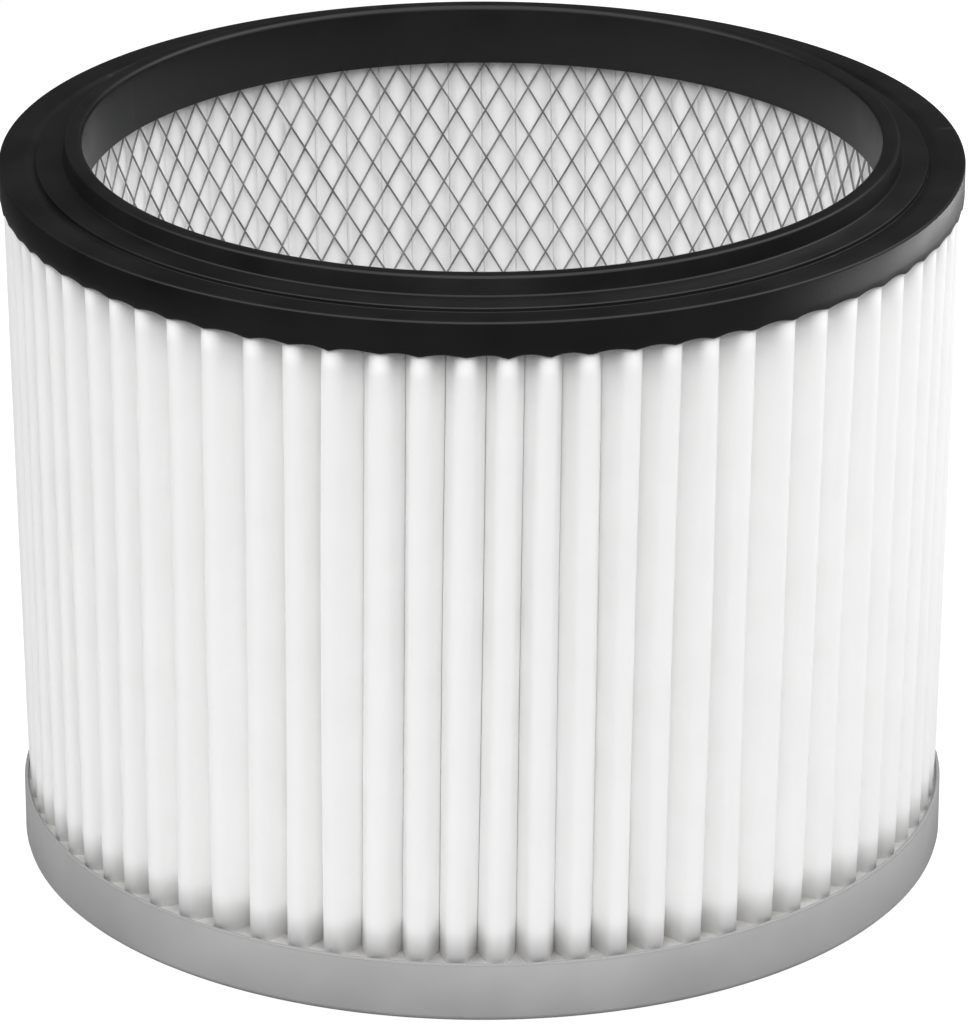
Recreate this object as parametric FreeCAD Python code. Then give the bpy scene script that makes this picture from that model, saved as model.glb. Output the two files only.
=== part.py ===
"""Cartridge filter for a wet, dry or ash vacuum cleaner.

A ring of folded filter medium stands between a cast sealing cap, open in the middle, and a closed
base pan. A rolled tube of expanded metal keeps the folds from being sucked inwards.
Millimetres. The origin is the middle of the base, on the surface that the filter stands on, and +Z
runs up the axis to the sealing lip.
"""

import FreeCAD, Part
import math
import os

from FreeCAD import Vector

# Overall size
height = 125.0
rim_radius = 80.0

# Sealing cap, cast in soft black polyurethane round the ends of the folds and the tube
cap_width = 13.8
lip_height = 3.2
lip_width = 2.8
lip_draft = 0.5
lip_edge = 0.5
inner_ring_width = 4.4
inner_ring_fall = 0.2
groove_width = 1.7
groove_depth = 0.7
ledge_drop = 0.3
rim_edge = 0.4
rim_wall = 5.4
cap_web = 3.2
collar_depth = 10.4
collar_wall = 1.2
casting_clearance = 0.05

# Folded filter medium, whose round folds are drawn as a few flats each
pleat_spacing = 6.52
medium_thickness = 0.8
crest_gap = 2.7
valley_gap = 0.7
crest_inset = 2.2
crest_flat_count = 6
valley_flat_count = 2
inside_flat_count = 2

# Expanded metal tube, with coarser diamonds and broader strands than the real sheet
sheet_thickness = 0.6
mesh_columns = 17
mesh_rows = 3
strand_width = 2.0
tube_clearance = 0.05

# Base pan, moulded in grey plastic, with a trough that holds the adhesive
pan_inset = 1.3
pan_height = 10.3
pan_wall = 0.7
pan_floor = 1.5
pan_foot_rise = 0.8
pan_chamfer = 0.8
trough_width = 12.8
trough_wall = 1.2
trough_wall_height = 10.0
adhesive_depth = 8.3

# Heights of the cap's steps, from the lip downwards
inner_ring_top = height - lip_height
inner_ring_foot = inner_ring_top - inner_ring_fall
ledge_top = inner_ring_top - ledge_drop
groove_floor = ledge_top - groove_depth
rim_foot = ledge_top - rim_edge - rim_wall
seat_top = ledge_top - cap_web
collar_foot = height - collar_depth

# Radii of the cap's steps, from the bore outwards
bore_radius = rim_radius - cap_width
lip_top_radius = bore_radius + lip_width
lip_foot_radius = lip_top_radius + lip_draft
groove_inner_radius = lip_foot_radius + inner_ring_width
groove_outer_radius = groove_inner_radius + groove_width
collar_radius = bore_radius + collar_wall

# The tube is bent flat between the points of its diamonds, two flats to a column
tube_flats = 2 * mesh_columns
tube_bend = math.pi / tube_flats
tube_inner_radius = (collar_radius + tube_clearance) / math.cos(tube_bend)
tube_outer_radius = tube_inner_radius + sheet_thickness

# What stands between the cap and the adhesive
seat_foot = pan_floor + adhesive_depth
seated_height = seat_top - seat_foot
medium_inner_radius = tube_outer_radius + tube_clearance
medium_outer_radius = rim_radius - crest_inset

# Radii of the pan's walls, from the outside inwards
pan_radius = rim_radius - pan_inset
pan_inner_radius = pan_radius - pan_wall
trough_inner_radius = pan_inner_radius - trough_width
trough_wall_radius = trough_inner_radius - trough_wall

# As many pleats as the spacing of their crests gives, each as round as the gaps leave room for
pleat_count = round(2 * math.pi * medium_outer_radius / pleat_spacing)
pleat_pitch = 2 * math.pi / pleat_count
spread = math.sin(pleat_pitch / 2)
crest_radius = (medium_outer_radius * spread - crest_gap / 2) / (1 + spread)
valley_radius = (medium_inner_radius * spread - valley_gap / 2) / (1 - spread)
crest_centre_radius = medium_outer_radius - crest_radius
valley_centre_radius = medium_inner_radius + valley_radius


def polar(radius, angle, z=0.0):
    """A point at that radius and angle about the axis."""
    return Vector(radius * math.cos(angle), radius * math.sin(angle), z)


def around(count):
    """So many equal angles, once round the axis from +X."""
    return [2 * math.pi * index / count for index in range(count)]


def ring(profile):
    """The solid swept once round the axis by a closed outline of (radius, height) points."""
    points = [Vector(radius, 0, z) for radius, z in profile]
    outline = Part.makePolygon(points + points[:1])
    return Part.Face(outline).revolve(Vector(0, 0, 0), Vector(0, 0, 1), 360)


def column(corners, foot, top):
    """The solid between two heights over a closed outline of corners at height 0."""
    outline = Part.Face(Part.makePolygon(corners + corners[:1]))
    outline.translate(Vector(0, 0, foot))
    return outline.extrude(Vector(0, 0, top - foot))


def flank_heading(crest_angle, side):
    """The direction in which the straight side of a fold faces, away from the crest's centre.

    That side is tangent to the crest's circle and to the neighbouring valley's circle, which lie
    on its two sides. side is 1 towards larger angles and -1 towards smaller ones.
    """
    crest = polar(crest_centre_radius, crest_angle)
    valley = polar(valley_centre_radius, crest_angle + side * pleat_pitch / 2)
    between = valley - crest
    middle_radii = crest_radius + valley_radius - medium_thickness
    lean = math.acos(middle_radii / between.Length)
    return math.atan2(between.y, between.x) - side * lean


def fold(centre, radius, start, end, flats):
    """Corners along one face of a fold, turning about its centre from one heading to another."""
    turns = [start + (end - start) * index / flats for index in range(flats + 1)]
    return [centre + polar(radius, turn) for turn in turns]


def medium_corners(outside):
    """Corners of the folded medium's outer or inner face, once round the axis."""
    corners = []
    crest_reach = crest_radius if outside else crest_radius - medium_thickness
    valley_reach = valley_radius - medium_thickness if outside else valley_radius
    crest_parts = crest_flat_count if outside else inside_flat_count
    valley_parts = inside_flat_count if outside else valley_flat_count
    for crest_angle in around(pleat_count):
        crest = polar(crest_centre_radius, crest_angle)
        valley = polar(valley_centre_radius, crest_angle + pleat_pitch / 2)
        before = flank_heading(crest_angle, -1)
        after = flank_heading(crest_angle, 1)
        following = flank_heading(crest_angle + pleat_pitch, -1)
        crest_turn = (after - before) % (2 * math.pi)
        valley_turn = (following - after) % (2 * math.pi) - 2 * math.pi
        corners += fold(crest, crest_reach, before, before + crest_turn, crest_parts)
        inwards = after + math.pi
        corners += fold(valley, valley_reach, inwards, inwards + valley_turn, valley_parts)
    return corners


def make_pleat_pack():
    """One endless strip of medium, folded into crests and valleys all the way round."""
    outer = column(medium_corners(True), seat_foot, seat_top)
    return outer.cut(column(medium_corners(False), seat_foot, seat_top))


def make_support_mesh():
    """A thin tube with rows of staggered diamonds, the rows at its ends cut in half."""
    outer_corners = [polar(tube_outer_radius, angle) for angle in around(tube_flats)]
    inner_corners = [polar(tube_inner_radius, angle) for angle in around(tube_flats)]
    tube = column(outer_corners, seat_foot, seat_top)
    tube = tube.cut(column(inner_corners, seat_foot, seat_top))

    # Half the width and height of a diamond between the middles of its strands
    row_height = (seated_height - 2 * strand_width) / mesh_rows
    half_width = tube_outer_radius * math.sin(2 * tube_bend)
    half_height = row_height / 2

    # The open diamond is smaller, by half a strand on each of its four sides
    reach = half_width * half_height / math.hypot(half_width, half_height)
    share = (reach - strand_width / 2) / reach
    wide = half_width * share
    tall = half_height * share

    bottom = seat_foot + strand_width
    top = seat_top - strand_width
    cutters = []
    for index, angle in enumerate(around(tube_flats)):
        staggered = index % 2
        for row in range(mesh_rows + staggered):
            middle = bottom + (row + (1 - staggered) / 2) * row_height
            outline = [(-wide, middle), (wide, middle)]
            if middle > bottom:
                outline.insert(1, (0, middle - tall))
            if middle < top:
                outline.append((0, middle + tall))
            corners = [Vector(tube_inner_radius / 2, across, z) for across, z in outline]
            window = Part.Face(Part.makePolygon(corners + corners[:1]))
            cutter = window.extrude(Vector(rim_radius, 0, 0))
            cutter.rotate(Vector(0, 0, 0), Vector(0, 0, 1), math.degrees(angle))
            cutters.append(cutter)
    return tube.cut(cutters)


def casting_corners():
    """Where the cast rim ends: close over the top of each crest, and straight to the next."""
    corners = []
    for crest_angle in around(pleat_count):
        crest = polar(crest_centre_radius, crest_angle)
        before = flank_heading(crest_angle, -1)
        turn = (flank_heading(crest_angle, 1) - before) % (2 * math.pi)
        reach = crest_radius + casting_clearance
        over = fold(crest, reach, before, before + turn, crest_flat_count)
        corners += over[2:-2]
    return corners


def make_seal_cap():
    """The cap's section swept round, and the channel in its underside for the folds and tube."""
    cap = ring(
        [
            (bore_radius, collar_foot),
            (collar_radius, collar_foot),
            (collar_radius, rim_foot),
            (rim_radius, rim_foot),
            (rim_radius, ledge_top - rim_edge),
            (rim_radius - rim_edge, ledge_top),
            (groove_outer_radius, ledge_top),
            (groove_inner_radius, groove_floor),
            (groove_inner_radius, inner_ring_foot),
            (lip_foot_radius, inner_ring_top),
            (lip_top_radius, height),
            (bore_radius + lip_edge, height),
            (bore_radius, height - lip_edge),
        ]
    )
    channel = column(casting_corners(), collar_foot, seat_top)
    collar = Part.makeCylinder(collar_radius, collar_depth, Vector(0, 0, collar_foot))
    return cap.cut(channel.cut(collar))


def make_base_pan():
    """A round pan with an upstanding rim and an inner wall, so that adhesive fills its trough."""
    return ring(
        [
            (0, pan_foot_rise),
            (trough_wall_radius - pan_foot_rise, pan_foot_rise),
            (trough_wall_radius, 0),
            (pan_radius - pan_chamfer, 0),
            (pan_radius, pan_chamfer),
            (pan_radius, pan_height),
            (pan_inner_radius, pan_height),
            (pan_inner_radius, pan_floor),
            (trough_inner_radius, pan_floor),
            (trough_inner_radius, trough_wall_height),
            (trough_wall_radius, trough_wall_height),
            (trough_wall_radius, pan_floor + pan_foot_rise),
            (0, pan_floor + pan_foot_rise),
        ]
    )


def make_base_adhesive():
    return ring(
        [
            (trough_inner_radius, pan_floor),
            (pan_inner_radius, pan_floor),
            (pan_inner_radius, seat_foot),
            (trough_inner_radius, seat_foot),
        ]
    )


parts = {
    "seal_cap": make_seal_cap(),
    "pleat_pack": make_pleat_pack(),
    "support_mesh": make_support_mesh(),
    "base_adhesive": make_base_adhesive(),
    "base_pan": make_base_pan(),
}

os.makedirs("parts", exist_ok=True)
for name, solid in parts.items():
    solid.exportStep(f"parts/{name}.step")
    print(name, solid.ShapeType, len(solid.Solids), solid.isValid(), round(solid.Volume, 1))
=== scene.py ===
import math
import random

import bmesh
import bpy
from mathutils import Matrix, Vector


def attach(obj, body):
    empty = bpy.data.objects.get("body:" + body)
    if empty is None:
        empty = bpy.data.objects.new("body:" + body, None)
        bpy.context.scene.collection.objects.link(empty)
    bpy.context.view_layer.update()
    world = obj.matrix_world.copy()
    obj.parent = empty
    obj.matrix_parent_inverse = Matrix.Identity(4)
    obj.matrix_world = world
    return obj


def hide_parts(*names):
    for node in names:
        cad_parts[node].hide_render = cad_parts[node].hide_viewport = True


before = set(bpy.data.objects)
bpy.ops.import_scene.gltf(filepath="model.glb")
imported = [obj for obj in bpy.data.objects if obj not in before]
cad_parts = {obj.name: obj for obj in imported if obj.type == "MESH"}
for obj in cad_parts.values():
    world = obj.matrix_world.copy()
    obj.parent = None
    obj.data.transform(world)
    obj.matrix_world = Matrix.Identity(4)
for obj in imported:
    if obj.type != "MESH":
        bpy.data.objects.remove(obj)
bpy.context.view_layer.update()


# Base pan
# The pan closes the lower end of the filter. It is one round moulding of grey plastic with an
# upstanding rim outside and a lower wall inside, and between them it holds the adhesive.
MM = 0.001
PAN_RADIUS = 78.7
PAN_HEIGHT = 10.3
PAN_WALL = 0.7
PAN_FLOOR = 1.5
PAN_FOOT_RISE = 0.8
TROUGH_RADIUS = 65.2
TROUGH_WALL_RADIUS = 64.0
TROUGH_WALL_HEIGHT = 10.0
PAN_STEPS = 312
# Painted shade: the top of the rim is painted darker between these two heights
PAN_RIM_SHADE_FROM = 9.85
PAN_RIM_SHADE_TO = 10.2
ROUNDING_STEPS = 3
SEAM_WELD = 0.002
PAN_GREY = (0.36, 0.36, 0.365, 1)
PAN_PALE_GREY = (0.42, 0.42, 0.425, 1)
# The darker grey painted on the top of the rim as shade
PAN_RIM_SHADE_GREY = (0.27, 0.27, 0.272, 1)


def section_of(corners):
    """The section of a round piece, as edges in the XZ plane from the first corner to the last.

    Each corner is its radius, its height and how far its rounding reaches along both sides.
    """
    section = bmesh.new()
    chain = [section.verts.new((radius * MM, 0, z * MM)) for radius, z, _ in corners]
    for low, high in zip(chain, chain[1:]):
        section.edges.new((low, high))
    for vert, (_, _, reach) in zip(chain, corners):
        if reach:
            bmesh.ops.bevel(
                section,
                geom=[vert],
                affect="VERTICES",
                offset=reach * MM,
                segments=ROUNDING_STEPS,
                profile=0.5,
                material=-1,
            )
    return section


def turn_round(section, steps):
    """Spins a section once round the axis, and closes its seam and its poles."""
    bmesh.ops.spin(
        section,
        geom=section.verts[:] + section.edges[:],
        cent=(0, 0, 0),
        axis=(0, 0, 1),
        dvec=(0, 0, 0),
        angle=2 * math.pi,
        steps=steps,
        use_merge=True,
    )
    bmesh.ops.remove_doubles(section, verts=section.verts[:], dist=SEAM_WELD * MM)
    bmesh.ops.recalc_face_normals(section, faces=section.faces[:])


def hand_over(shape, name, material, node, crease=40):
    """Makes an object of a finished bmesh, in the place of a node, with smooth shading."""
    mesh = bpy.data.meshes.new(name)
    shape.to_mesh(mesh)
    shape.free()
    mesh.materials.append(material)
    mesh.shade_smooth()
    if crease:
        mesh.set_sharp_from_angle(angle=math.radians(crease))
    piece = bpy.data.objects.new(name, mesh)
    bpy.context.scene.collection.objects.link(piece)
    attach(piece, "root")
    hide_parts(node)
    return piece


def put(tree, kind, links=None, **settings):
    """Adds a shader node with its settings, and sets or links the inputs that links names."""
    made = tree.nodes.new(kind)
    for setting, value in settings.items():
        setattr(made, setting, value)
    for socket, value in (links or {}).items():
        if isinstance(value, bpy.types.NodeSocket):
            tree.links.new(value, made.inputs[socket])
        else:
            made.inputs[socket].default_value = value
    return made


def blended(tree, share, first, second):
    """The colour between two colours, by a share from 0 to 1."""
    links = {0: share, 6: first, 7: second}
    return put(tree, "ShaderNodeMix", links, data_type="RGBA").outputs[2]


def stretched(tree, value, low, high, new_low=0.0, new_high=1.0):
    """A value rescaled from one range to another, and held within it."""
    links = {0: value, 1: low, 2: high, 3: new_low, 4: new_high}
    return put(tree, "ShaderNodeMapRange", links).outputs[0]


def new_material(name, **constants):
    """A material with its tree and its surface shader, whose constants are set by socket name."""
    material = bpy.data.materials.new(name)
    material.use_nodes = True
    surface = material.node_tree.nodes["Principled BSDF"]
    for socket, value in constants.items():
        surface.inputs[socket.replace("_", " ")].default_value = value
    return material, material.node_tree, surface


def make_grain_group():
    """Broad cloudy patches and a fine skin, from the place on the piece."""
    group = bpy.data.node_groups.new("moulded_grain", "ShaderNodeTree")
    for name, kind in (("Place", "NodeSocketVector"), ("Patch Size", "NodeSocketFloat"),
                       ("Grain Size", "NodeSocketFloat")):
        group.interface.new_socket(name, in_out="INPUT", socket_type=kind)
    for name in ("Patches", "Grain"):
        group.interface.new_socket(name, in_out="OUTPUT", socket_type="NodeSocketFloat")
    given = group.nodes.new("NodeGroupInput")
    result = group.nodes.new("NodeGroupOutput")
    for output, size, detail in (("Patches", "Patch Size", 3.0), ("Grain", "Grain Size", 2.0)):
        scale = put(group, "ShaderNodeMath", {0: 1.0, 1: given.outputs[size]}, operation="DIVIDE")
        noise = put(
            group,
            "ShaderNodeTexNoise",
            {"Vector": given.outputs["Place"], "Scale": scale.outputs[0], "Detail": detail},
        )
        group.links.new(noise.outputs["Fac"], result.inputs[output])
    return group


grain_group = make_grain_group()


def grain(tree, patch_size, grain_size):
    """Places the grain group on a piece, with its sizes in millimetres."""
    place = put(tree, "ShaderNodeTexCoord").outputs["Object"]
    links = {"Place": place, "Patch Size": patch_size * MM, "Grain Size": grain_size * MM}
    made = put(tree, "ShaderNodeGroup", links, node_tree=grain_group)
    return made.outputs["Patches"], made.outputs["Grain"], place


def mottled(tree, patches, first, second):
    """Two colours that run into each other in cloudy patches."""
    return blended(tree, stretched(tree, patches, 0.35, 0.65), first, second)


def set_roughness(tree, surface, noise, low, high):
    """Feeds a noise to the surface's roughness, from low to high."""
    tree.links.new(stretched(tree, noise, 0.3, 0.7, low, high), surface.inputs["Roughness"])


def roughen(tree, surface, height, distance, strength):
    """Feeds a height to the surface's normal, as a bump of that distance in millimetres."""
    links = {"Height": height, "Distance": distance * MM, "Strength": strength}
    bump = put(tree, "ShaderNodeBump", links)
    tree.links.new(bump.outputs[0], surface.inputs["Normal"])


def pan_material():
    material, tree, surface = new_material("grey_pan_plastic", Specular_IOR_Level=0.35)
    patches, skin, place = grain(tree, 22, 0.35)
    grey = mottled(tree, patches, PAN_GREY, PAN_PALE_GREY)
    # Painted shade: the top of the rim is painted a darker grey, for the shade under the
    # overhanging felt
    height = put(tree, "ShaderNodeSeparateXYZ", {0: place}).outputs["Z"]
    rim_top_shade = stretched(tree, height, PAN_RIM_SHADE_FROM * MM, PAN_RIM_SHADE_TO * MM)
    tree.links.new(blended(tree, rim_top_shade, grey, PAN_RIM_SHADE_GREY), surface.inputs["Base Color"])
    set_roughness(tree, surface, skin, 0.5, 0.62)
    roughen(tree, surface, skin, 0.03, 0.35)
    return material


pan_section = section_of(
    [
        (0, PAN_FOOT_RISE, 0),
        (TROUGH_WALL_RADIUS - PAN_FOOT_RISE, PAN_FOOT_RISE, 0.4),
        (TROUGH_WALL_RADIUS, 0, 0.3),
        (PAN_RADIUS, 0, 1.0),
        (PAN_RADIUS, PAN_HEIGHT, 0.3),
        (PAN_RADIUS - PAN_WALL, PAN_HEIGHT, 0.2),
        (PAN_RADIUS - PAN_WALL, PAN_FLOOR, 0.6),
        (TROUGH_RADIUS, PAN_FLOOR, 0.6),
        (TROUGH_RADIUS, TROUGH_WALL_HEIGHT, 0.3),
        (TROUGH_WALL_RADIUS, TROUGH_WALL_HEIGHT, 0.3),
        (TROUGH_WALL_RADIUS, PAN_FLOOR + PAN_FOOT_RISE, 0.6),
        (0, PAN_FLOOR + PAN_FOOT_RISE, 0),
    ]
)
turn_round(pan_section, PAN_STEPS)
pan = hand_over(pan_section, "moulded_pan", pan_material(), "base_pan")


# Folded medium
# One endless strip of white needled felt, 0.8 mm thick, is folded into 75 pleats and stood in a
# ring. Its soft flanks swell until they lean on each other, its folds are round and a little
# uneven, and the adhesive pinches them at the foot.
PLEATS = 75
MEDIUM_THICKNESS = 0.8
CREST_RADIUS = 1.83
VALLEY_RADIUS = 2.62
CREST_CENTRE_RADIUS = 75.97
VALLEY_CENTRE_RADIUS = 71.01
VALLEY_WIDENING = 1.8
FOLD_TOUCH = 0.005
WEDGE_TOP = 76.45
WEDGE_REACH = 1.345
WEDGE_SLOPE = 0.344
NECK_RADIUS = 72.0
LOOP_TOP = 71.3
LOOP_REACH = 0.82
FLANK_CUTS = 8
FLANK_LENGTH = 3.0
STRIP_WELD = 0.01
PLEAT_SCATTER = 0.07
PLEAT_BOW = 0.06
PLEAT_LEAN = 0.2
STILL_SHARE = 0.16
PLEAT_PROUD = 0.12
PLEAT_HOLLOW = 0.05
MOVING_DEPTH = 6.0
WIDENING_DEPTH = 1.5
FLARE = 0.015
FOOT_PINCH = 0.2
PINCH_HEIGHT = 2.5
MEDIUM_FOOT = 9.0
MEDIUM_TOP = 118.3
CREST_STEPS = 10
VALLEY_STEPS = 6
MEDIUM_ROWS = 16
PITCH = 2 * math.pi / PLEATS
FELT_WHITE = (0.955, 0.955, 0.953, 1)
FELT_SHADE = (0.935, 0.935, 0.932, 1)


def polar(radius, angle, z=0.0):
    """A point at a radius in millimetres and an angle about the axis."""
    return Vector((radius * MM * math.cos(angle), radius * MM * math.sin(angle), z * MM))


def flank_heading(crest_angle, side):
    """The direction that a fold's flank faces, where it is tangent to its crest and its valley."""
    between = polar(VALLEY_CENTRE_RADIUS, crest_angle + side * PITCH / 2)
    between -= polar(CREST_CENTRE_RADIUS, crest_angle)
    middle_radii = (CREST_RADIUS + VALLEY_RADIUS - MEDIUM_THICKNESS) * MM
    lean = math.acos(middle_radii / between.length)
    return math.atan2(between.y, between.x) - side * lean


def fold_on(shape, tip, centre, radius, heading, turn, steps):
    """Draws the strip's middle line straight to a fold, then round it by spinning its tip."""
    tip = bmesh.ops.extrude_vert_indiv(shape, verts=[tip])["verts"][0]
    tip.co = centre + polar(radius, heading)
    spun = bmesh.ops.spin(
        shape,
        geom=[tip],
        cent=centre,
        axis=(0, 0, 1),
        dvec=(0, 0, 0),
        angle=turn,
        steps=steps,
        use_merge=False,
    )
    return spun["geom_last"][0]


def folded_strip():
    """The strip's middle line with all its folds, as one closed chain of edges at the foot."""
    strip = bmesh.new()
    crest_middle = CREST_RADIUS - MEDIUM_THICKNESS / 2
    valley_middle = VALLEY_RADIUS - MEDIUM_THICKNESS / 2
    first = polar(CREST_CENTRE_RADIUS, 0) + polar(crest_middle, flank_heading(0, -1))
    start = strip.verts.new(first)
    tip = start
    for pleat in range(PLEATS):
        angle = pleat * PITCH
        before = flank_heading(angle, -1)
        after = flank_heading(angle, 1)
        following = flank_heading(angle + PITCH, -1)
        crest_turn = (after - before) % (2 * math.pi)
        valley_turn = (following - after) % (2 * math.pi) - 2 * math.pi
        crest = polar(CREST_CENTRE_RADIUS, angle)
        valley = polar(VALLEY_CENTRE_RADIUS, angle + PITCH / 2)
        tip = fold_on(strip, tip, crest, crest_middle, before, crest_turn, CREST_STEPS)
        tip = fold_on(
            strip, tip, valley, valley_middle, after + math.pi, valley_turn, VALLEY_STEPS
        )
    strip.edges.new((tip, start))
    bmesh.ops.remove_doubles(strip, verts=strip.verts[:], dist=STRIP_WELD * MM)
    flanks = [edge for edge in strip.edges if edge.calc_length() > FLANK_LENGTH * MM]
    bmesh.ops.subdivide_edges(strip, edges=flanks, cuts=FLANK_CUTS)
    bmesh.ops.translate(strip, verts=strip.verts[:], vec=(0, 0, MEDIUM_FOOT * MM))
    return strip


def raise_rows(shape, rows, height):
    """Pulls a closed chain of edges up into a wall of so many rows."""
    rim = shape.edges[:]
    for _ in range(rows):
        pulled = bmesh.ops.extrude_edge_only(shape, edges=rim)["geom"]
        rim = [part for part in pulled if isinstance(part, bmesh.types.BMEdge)]
        verts = [part for part in pulled if isinstance(part, bmesh.types.BMVert)]
        bmesh.ops.translate(shape, verts=verts, vec=(0, 0, height * MM / rows))


pleat_draw = random.Random(11)
pleat_reaches = (PLEAT_SCATTER, PLEAT_SCATTER, 1)
pleat_shifts = [[pleat_draw.uniform(-r, r) for r in pleat_reaches] for _ in range(PLEATS)]


def pleat_drift(index):
    """How far the pleats drift round the ring from their even places, as a share of the pitch."""
    angle = index * PITCH
    drift = 0.3 * math.cos(angle) - 0.2 * math.sin(2 * angle)
    return drift + 0.15 * math.cos(5 * angle + 3.3)


def pleat_shift(turns, height):
    """How far a pleat stands from its even place, as a share of the pitch, and how proud it is.

    turns counts pleats round the axis from +X, and height runs from 0 at the foot to 1 at the top.
    Each crest and each valley moves as one, and the flanks between them take up the difference.
    """
    low = math.floor(turns)
    half = round(turns) - low
    step = (2 * (turns - low) - half - STILL_SHARE) / (1 - 2 * STILL_SHARE)
    step = min(max(step, 0), 1)
    share = (half + step * step * (3 - 2 * step)) / 2
    values = []
    for index in (low, low + 1):
        foot, top, proud = pleat_shifts[index % PLEATS]
        bow = math.sin(math.pi * height) * PLEAT_BOW * math.sin(index * 2.4)
        values.append((foot + (top - foot) * height + bow + pleat_drift(index), proud))
    sideways = values[0][0] + (values[1][0] - values[0][0]) * share
    sideways += PLEAT_LEAN * (height - 0.5)
    proud = values[0][1] + (values[1][1] - values[0][1]) * share
    return sideways, proud


def flank_reach(radius):
    """How far a flank stands from the middle of its crest, in millimetres.

    The soft flanks swell as they run inwards, until each leans on its neighbour at the neck, so
    that the grooves are wedges. Further in, they part again to the wide inner folds.
    """
    if radius > NECK_RADIUS:
        return WEDGE_REACH + WEDGE_SLOPE * (WEDGE_TOP - radius)
    share = min((NECK_RADIUS - radius) / (NECK_RADIUS - LOOP_TOP), 1)
    share = share * share * (3 - 2 * share)
    neck = WEDGE_REACH + WEDGE_SLOPE * (WEDGE_TOP - NECK_RADIUS)
    return neck + (LOOP_REACH - neck) * share


def settle_folds(shape):
    """Moves each point of the even strip to where the real, uneven one has it."""
    for vert in shape.verts:
        radius = math.hypot(vert.co.x, vert.co.y) / MM
        angle = math.atan2(vert.co.y, vert.co.x)
        z = vert.co.z / MM
        height = (z - MEDIUM_FOOT) / (MEDIUM_TOP - MEDIUM_FOOT)
        turns = angle / PITCH
        outside = radius > LOOP_TOP
        fold = round(turns) if outside else math.floor(turns) + 0.5
        if LOOP_TOP < radius < WEDGE_TOP:
            offset = math.copysign(flank_reach(radius) / (PITCH * radius), turns - fold)
        elif outside:
            offset = turns - fold
        else:
            reach = min((LOOP_TOP - radius) / WIDENING_DEPTH, 1)
            offset = (turns - fold) * (1 + (VALLEY_WIDENING - 1) * reach)
        room = 0.5 - (MEDIUM_THICKNESS / 2 + FOLD_TOUCH) / (PITCH * radius)
        offset = min(max(offset, -room), room)
        outwards = min(max((radius - VALLEY_CENTRE_RADIUS) / MOVING_DEPTH, 0), 1)
        turns = fold + offset
        sideways, proud = pleat_shift(turns, height)
        bulge = math.sin(math.pi * min(max(height, 0), 1))
        bulge *= PLEAT_PROUD * proud - PLEAT_HOLLOW
        radius += outwards * (bulge + FLARE * (z - MEDIUM_FOOT))
        radius -= outwards * FOOT_PINCH * math.exp(-max(z - PAN_HEIGHT, 0) / PINCH_HEIGHT)
        vert.co = polar(radius, (turns + sideways) * PITCH, z)


def medium_material():
    material, tree, surface = new_material("white_felt", Specular_IOR_Level=0.1)
    patches, fibres, place = grain(tree, 9, 0.45)
    # Strands of fibre that run up the pleats, eight times as long as they are broad
    long_way = put(tree, "ShaderNodeMapping", {"Vector": place, "Scale": (1, 1, 0.12)})
    links = {"Vector": long_way.outputs[0], "Scale": 1600, "Detail": 3}
    strands = put(tree, "ShaderNodeTexNoise", links)
    cloud = stretched(tree, patches, 0.3, 0.7)
    felt = blended(tree, cloud, FELT_WHITE, FELT_SHADE)
    tree.links.new(felt, surface.inputs["Base Color"])
    set_roughness(tree, surface, fibres, 0.85, 1.0)
    links = {0: fibres, 1: strands.outputs["Fac"]}
    height = put(tree, "ShaderNodeMath", links, operation="ADD").outputs[0]
    roughen(tree, surface, height, 0.04, 0.4)
    return material


medium_shape = folded_strip()
raise_rows(medium_shape, MEDIUM_ROWS, MEDIUM_TOP - MEDIUM_FOOT)
settle_folds(medium_shape)
bmesh.ops.recalc_face_normals(medium_shape, faces=medium_shape.faces[:])
medium = hand_over(
    medium_shape, "felt_pleats", medium_material(), "pleat_pack", crease=0
)
felt_wall = medium.modifiers.new("felt_wall", "SOLIDIFY")
felt_wall.thickness = MEDIUM_THICKNESS * MM
felt_wall.offset = 0
felt_wall.use_even_offset = True


# Expanded metal tube
# A thin zinc-coated sheet is slit and stretched into small upright diamonds, then rolled into a
# tube that backs the inner folds. Its strands lie tilted, as the stretching leaves them.
MESH_RADIUS = 67.95
MESH_COLUMNS = 84
MESH_ROWS = 13
NET_START = 4.55
MESH_FOOT = 9.0
MESH_TOP = 118.3
STRAND_WIDTH = 0.24
STRAND_THICKNESS = 0.25
STRAND_TILT = 0.12
TIP_REACH = 0.3
NET_WELD = 0.02
MESH_LEAN = 1.27
ZINC = (0.4, 0.4, 0.41, 1)
DULL_ZINC = (0.24, 0.24, 0.245, 1)


def diamond_net():
    """A flat net of staggered diamonds, x round the tube and y up it, from a grid of oblongs.

    Each oblong is poked to its middle and its own sides are dissolved, which leaves diamonds. Each
    diamond is then inset by half a strand and its middle taken out.
    """
    net = bmesh.new()
    bmesh.ops.create_grid(net, x_segments=MESH_COLUMNS, y_segments=MESH_ROWS, size=0.5)
    width = 2 * math.pi * MESH_RADIUS * MM
    height = (MESH_TOP - NET_START) * MM
    bmesh.ops.scale(net, verts=net.verts[:], vec=(width, height, 1))
    sides = [edge for edge in net.edges if len(edge.link_faces) == 2]
    bmesh.ops.poke(net, faces=net.faces[:])
    bmesh.ops.dissolve_edges(net, edges=sides, use_verts=False)
    inner = bmesh.ops.inset_individual(
        net, faces=net.faces[:], thickness=STRAND_WIDTH / 2 * MM, use_even_offset=True
    )
    strands = set(inner["faces"])
    middles = [face for face in net.faces if face not in strands]
    return net, middles, width, height


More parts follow.
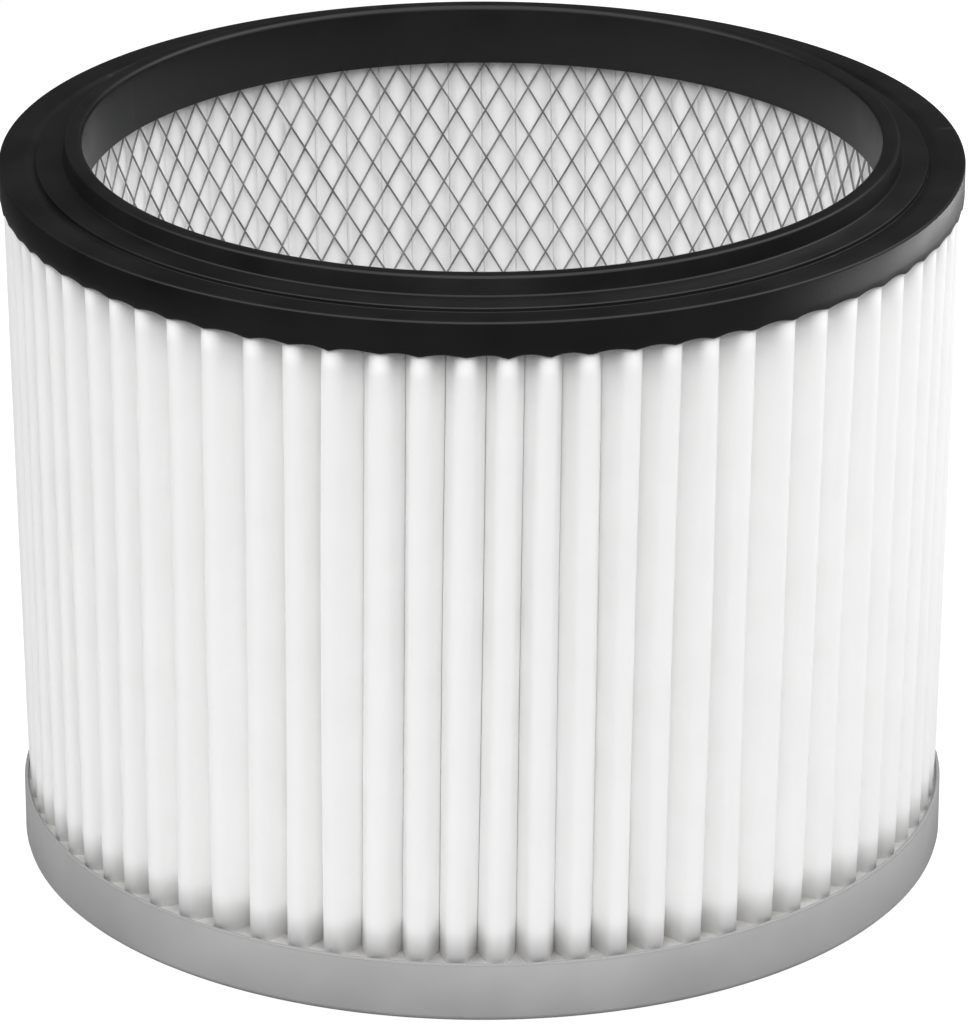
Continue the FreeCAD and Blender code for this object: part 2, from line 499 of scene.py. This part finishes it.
def tilt_and_roll(net, middles, width, height):
    """Tilts the strands, takes the diamonds out, rolls the net up and cuts its foot level."""
    lifts = {}
    for face in middles:
        centre = face.calc_center_median().x
        for vert in face.verts:
            lifts[vert] = math.copysign(STRAND_TILT, vert.co.x - centre)
            if abs(vert.co.x - centre) < TIP_REACH * MM:
                lifts[vert] = 0
    bmesh.ops.delete(net, geom=middles, context="FACES")
    lean = math.tan(math.radians(MESH_LEAN))
    for vert in net.verts:
        up = vert.co.y + height / 2
        angle = (vert.co.x + lean * up) / (width / (2 * math.pi))
        vert.co = polar(MESH_RADIUS + lifts.get(vert, 0), angle, NET_START + up / MM)
    bmesh.ops.remove_doubles(net, verts=net.verts[:], dist=NET_WELD * MM)
    bmesh.ops.bisect_plane(
        net,
        geom=net.verts[:] + net.edges[:] + net.faces[:],
        plane_co=(0, 0, MESH_FOOT * MM),
        plane_no=(0, 0, 1),
        clear_inner=True,
    )
    bmesh.ops.recalc_face_normals(net, faces=net.faces[:])


def zinc_material():
    material, tree, surface = new_material("dull_zinc", Metallic=0.85)
    patches, spots, _ = grain(tree, 6, 0.5)
    tree.links.new(mottled(tree, patches, ZINC, DULL_ZINC), surface.inputs["Base Color"])
    set_roughness(tree, surface, spots, 0.4, 0.6)
    roughen(tree, surface, spots, 0.03, 0.3)
    return material


net_shape, net_middles, net_width, net_height = diamond_net()
tilt_and_roll(net_shape, net_middles, net_width, net_height)
wire_tube = hand_over(
    net_shape, "diamond_net", zinc_material(), "support_mesh", crease=0
)
sheet_wall = wire_tube.modifiers.new("sheet_wall", "SOLIDIFY")
sheet_wall.thickness = STRAND_THICKNESS * MM
sheet_wall.offset = 0


# Adhesive
# Pale glue is poured into the pan's trough, and the folds and the tube are set down in it while it
# is wet. It creeps up a little where it meets them, and dries with a dull, faintly pitted skin.
GLUE_FOOT = 1.5
GLUE_TOP = 9.8
GLUE_INNER_RADIUS = 65.2
GLUE_OUTER_RADIUS = 78.0
GLUE_STEPS = PLEATS * 6
GLUE_ROWS = 5
GLUE_ROW_WIDTH = 2.2
GLUE_SAG = 0.245
GLUE_PALE = (0.5, 0.495, 0.485, 1)
GLUE_DARK = (0.38, 0.375, 0.365, 1)


def glue_material():
    material, tree, surface = new_material("pale_glue", Specular_IOR_Level=0.4)
    patches, pits, _ = grain(tree, 5, 0.8)
    tree.links.new(mottled(tree, patches, GLUE_PALE, GLUE_DARK), surface.inputs["Base Color"])
    set_roughness(tree, surface, pits, 0.4, 0.65)
    roughen(tree, surface, pits, 0.1, 0.5)
    return material


glue_rows = [
    (GLUE_OUTER_RADIUS - GLUE_ROW_WIDTH * row, GLUE_TOP, 0) for row in range(GLUE_ROWS + 1)
]
glue_section = section_of(
    [(GLUE_INNER_RADIUS, GLUE_FOOT, 0), (GLUE_OUTER_RADIUS, GLUE_FOOT, 0)]
    + glue_rows
    + [(GLUE_INNER_RADIUS, GLUE_TOP, 0), (GLUE_INNER_RADIUS, GLUE_FOOT, 0)]
)
turn_round(glue_section, GLUE_STEPS)
for vert in glue_section.verts:
    if vert.co.z > (GLUE_TOP - 0.1) * MM:
        turns = math.atan2(vert.co.y, vert.co.x) / PITCH
        wave = math.sin(turns * 2.1) * math.sin(turns * 0.77 + 1)
        vert.co.z -= GLUE_SAG * (1 + wave) * MM
glue = hand_over(glue_section, "poured_glue", glue_material(), "base_adhesive")


# Seal cap
# The upper end is cast in soft black polyurethane in an open mould. The folds and the tube end
# inside it, and at its lower edge the rubber has crept down each crest before it set.
RIM_RADIUS = 80.0
BORE_RADIUS = 66.2
CAP_TOP = 125.0
CAP_STEPS = PLEATS * 8
RIM_FOOT = 115.7
LEDGE_TOP = 121.5
GROOVE_FLOOR = 120.8
GROOVE_OUTER_RADIUS = 75.6
GROOVE_INNER_RADIUS = 73.9
INNER_RING_TOP = 121.8
INNER_RING_FOOT = 121.6
LIP_FOOT_RADIUS = 69.5
LIP_TOP_RADIUS = 69.0
COLLAR_RADIUS = 67.4
COLLAR_FOOT = 114.6
CREEP = 0.55
CREEP_HEIGHT = 1.5
CREEP_INNER_RADIUS = 75.0
RUBBER_BLACK = (0.003, 0.003, 0.0031, 1)
RUBBER_GREY = (0.005, 0.005, 0.0052, 1)
# A lighter grey painted on the rubber's sharp edges as highlight
RUBBER_EDGE_HIGHLIGHT = (0.016, 0.016, 0.0165, 1)


def creep_down(shape):
    """Pulls the rim's lower edge down at each crest, and leaves it as arches between them."""
    for vert in shape.verts:
        radius = math.hypot(vert.co.x, vert.co.y) / MM
        z = vert.co.z / MM
        if radius < CREEP_INNER_RADIUS or z > RIM_FOOT + CREEP_HEIGHT:
            continue
        turns = math.atan2(vert.co.y, vert.co.x) / PITCH
        shift, proud = pleat_shift(turns, 0.98)
        arch = 1 - abs(math.sin(math.pi * (turns - shift)))
        reach = CREEP * (1 + 0.45 * proud) * (arch - 0.38)
        fade = 1 - (z - RIM_FOOT) / CREEP_HEIGHT
        vert.co.z -= reach * min(max(fade, 0), 1) * MM


def rubber_material():
    material, tree, surface = new_material("cast_black_rubber", Specular_IOR_Level=0.25)
    patches, skin, place = grain(tree, 12, 0.7)
    black = mottled(tree, patches, RUBBER_BLACK, RUBBER_GREY)
    # Painted highlight: the sharply bent edges of the rubber are painted a lighter grey
    bent = put(tree, "ShaderNodeNewGeometry").outputs["Pointiness"]
    edge = stretched(tree, bent, 0.52, 0.6)
    tree.links.new(blended(tree, edge, black, RUBBER_EDGE_HIGHLIGHT), surface.inputs["Base Color"])
    set_roughness(tree, surface, patches, 0.3, 0.4)
    roughen(tree, surface, skin, 0.05, 0.3)
    return material


cap_section = section_of(
    [
        (BORE_RADIUS, COLLAR_FOOT, 0.2),
        (COLLAR_RADIUS, COLLAR_FOOT, 0.2),
        (COLLAR_RADIUS, RIM_FOOT, 0),
        (CREEP_INNER_RADIUS, RIM_FOOT, 0),
        (78.0, RIM_FOOT, 0),
        (RIM_RADIUS, RIM_FOOT, 0.35),
        (RIM_RADIUS, RIM_FOOT + CREEP_HEIGHT, 0),
        (RIM_RADIUS, LEDGE_TOP, 0.4),
        (GROOVE_OUTER_RADIUS, LEDGE_TOP, 0.4),
        (GROOVE_INNER_RADIUS, GROOVE_FLOOR, 0.2),
        (GROOVE_INNER_RADIUS, INNER_RING_FOOT, 0.25),
        (LIP_FOOT_RADIUS, INNER_RING_TOP, 0.3),
        (LIP_TOP_RADIUS, CAP_TOP, 0.45),
        (BORE_RADIUS, CAP_TOP, 0.8),
        (BORE_RADIUS, COLLAR_FOOT, 0),
    ]
)
turn_round(cap_section, CAP_STEPS)
creep_down(cap_section)
cap = hand_over(cap_section, "cast_cap", rubber_material(), "seal_cap", 50)


# Studio
# A pale floor, with painted shade at its back left and in a patch in front of the filter, which
# the black rim reflects, a world that is bright above and in front, and three broad lamps. A panel
# low at the right lights that side of the rim and pan.
FLOOR_HALF = 6.0
FLOOR_SEEN = 0.88
LAMP_TARGET = (0, 0, 0.06)
LAMP_SIZE = 0.7
# The dark grey painted on the floor as shade, and the floor's own grey
FLOOR_PAINTED_SHADE = (0.04, 0.04, 0.04, 1)
FLOOR_PALE = (0.25, 0.25, 0.25, 1)
WORLD_LOW = 0.08
WORLD_HIGH = 2.7


def studio_world():
    world = bpy.data.worlds.new("pale_studio")
    world.use_nodes = True
    bpy.context.scene.world = world
    tree = world.node_tree
    light = tree.nodes["Background"]
    light.inputs["Color"].default_value = (1, 1, 1, 1)
    way = put(tree, "ShaderNodeTexCoord").outputs["Object"]
    parts = put(tree, "ShaderNodeSeparateXYZ", {0: way}).outputs
    high = stretched(tree, parts["Z"], 0.3, 0.6)
    links = {0: parts["X"], 1: -0.3, 2: parts["Y"]}
    behind = put(tree, "ShaderNodeMath", links, operation="MULTIPLY_ADD").outputs[0]
    ahead = stretched(tree, behind, 0.65, 0.15)
    sky = put(tree, "ShaderNodeMath", {0: high, 1: ahead}, operation="MULTIPLY").outputs[0]
    tree.links.new(stretched(tree, sky, 0, 1, WORLD_LOW, WORLD_HIGH), light.inputs["Strength"])
    white = put(tree, "ShaderNodeBackground", {"Color": (1, 1, 1, 1), "Strength": 1.0})
    path = put(tree, "ShaderNodeLightPath")
    mix = put(tree, "ShaderNodeMixShader", {0: path.outputs["Is Camera Ray"]})
    tree.links.new(light.outputs[0], mix.inputs[1])
    tree.links.new(white.outputs[0], mix.inputs[2])
    tree.links.new(mix.outputs[0], tree.nodes["World Output"].inputs["Surface"])


def studio_floor():
    floor = bmesh.new()
    bmesh.ops.create_grid(floor, x_segments=1, y_segments=1, size=FLOOR_HALF)
    mesh = bpy.data.meshes.new("pale_floor")
    floor.to_mesh(mesh)
    floor.free()
    material, tree, surface = new_material("pale_floor", Roughness=0.9, Specular_IOR_Level=0.0)
    place = put(tree, "ShaderNodeTexCoord").outputs["Object"]
    parts = put(tree, "ShaderNodeSeparateXYZ", {0: place}).outputs
    # Painted shade: the floor's colour is darkened at the back left and in a patch in front, so
    # that the black rim reflects them dark; the camera sees the floor white
    across = put(tree, "ShaderNodeMath", {0: parts["X"], 1: parts["Y"]}, operation="SUBTRACT")
    rightwards = stretched(tree, across.outputs[0], -0.55, -0.2)
    front = put(tree, "ShaderNodeVectorMath", {0: place, 1: (0, -0.48, 0)}, operation="DISTANCE")
    away = stretched(tree, front.outputs["Value"], 0.05, 0.25, 0.35, 1)
    floor_shade_mask = put(tree, "ShaderNodeMath", {0: rightwards, 1: away}, operation="MULTIPLY").outputs[0]
    tree.links.new(blended(tree, floor_shade_mask, FLOOR_PAINTED_SHADE, FLOOR_PALE), surface.inputs["Base Color"])
    surface.inputs["Emission Color"].default_value = (1, 1, 1, 1)
    seen = put(tree, "ShaderNodeLightPath").outputs["Is Camera Ray"]
    tree.links.new(stretched(tree, seen, 0, 1, 0, FLOOR_SEEN), surface.inputs["Emission Strength"])
    mesh.materials.append(material)
    piece = bpy.data.objects.new("pale_floor", mesh)
    bpy.context.scene.collection.objects.link(piece)


def aim(thing, place, target):
    thing.location = place
    thing.rotation_euler = (Vector(target) - Vector(place)).to_track_quat("-Z", "Y").to_euler()


def new_lamp(name, power, size):
    light = bpy.data.lights.new(name, "AREA")
    light.size = size
    light.energy = power
    piece = bpy.data.objects.new(name, light)
    bpy.context.scene.collection.objects.link(piece)
    return piece, light


def lamp(name, power, azimuth, distance, height):
    """A square lamp that faces the filter, at an azimuth in degrees round from -Y towards +X."""
    piece, _ = new_lamp(name, power, LAMP_SIZE)
    turn = math.radians(azimuth)
    place = (distance * math.sin(turn), -distance * math.cos(turn), height)
    aim(piece, place, LAMP_TARGET)


def low_panel():
    """A long panel that lies at the right of the filter and shines upwards."""
    piece, light = new_lamp("right_glow", 1.9, 0.2)
    light.shape = "RECTANGLE"
    light.size_y = 0.55
    piece.location = (0.46, 0.12, 0.004)
    piece.rotation_euler = (math.pi, 0, 0)


def photo_camera():
    camera = bpy.data.cameras.new("photo_camera")
    camera.lens = 226.4
    camera.sensor_width = 36
    camera.clip_start = 0.05
    camera.clip_end = 30
    piece = bpy.data.objects.new("photo_camera", camera)
    bpy.context.scene.collection.objects.link(piece)
    aim(piece, (-0.1466, -0.9981, 0.476), (0.0003, 0, 0.0566))
    bpy.context.scene.camera = piece


studio_world()
studio_floor()
lamp("left_lamp", 1.7, -92, 0.85, 0.62)
lamp("right_lamp", 0.6, 95, 0.85, 0.62)
lamp("front_lamp", 1.4, -5, 1.0, 0.75)
low_panel()
photo_camera()
bpy.context.scene.view_settings.view_transform = "Standard"
# Light has to bounce often between white folds to reach the bottom of their grooves
bpy.context.scene.cycles.diffuse_bounces = 16
bpy.context.scene.cycles.max_bounces = 20
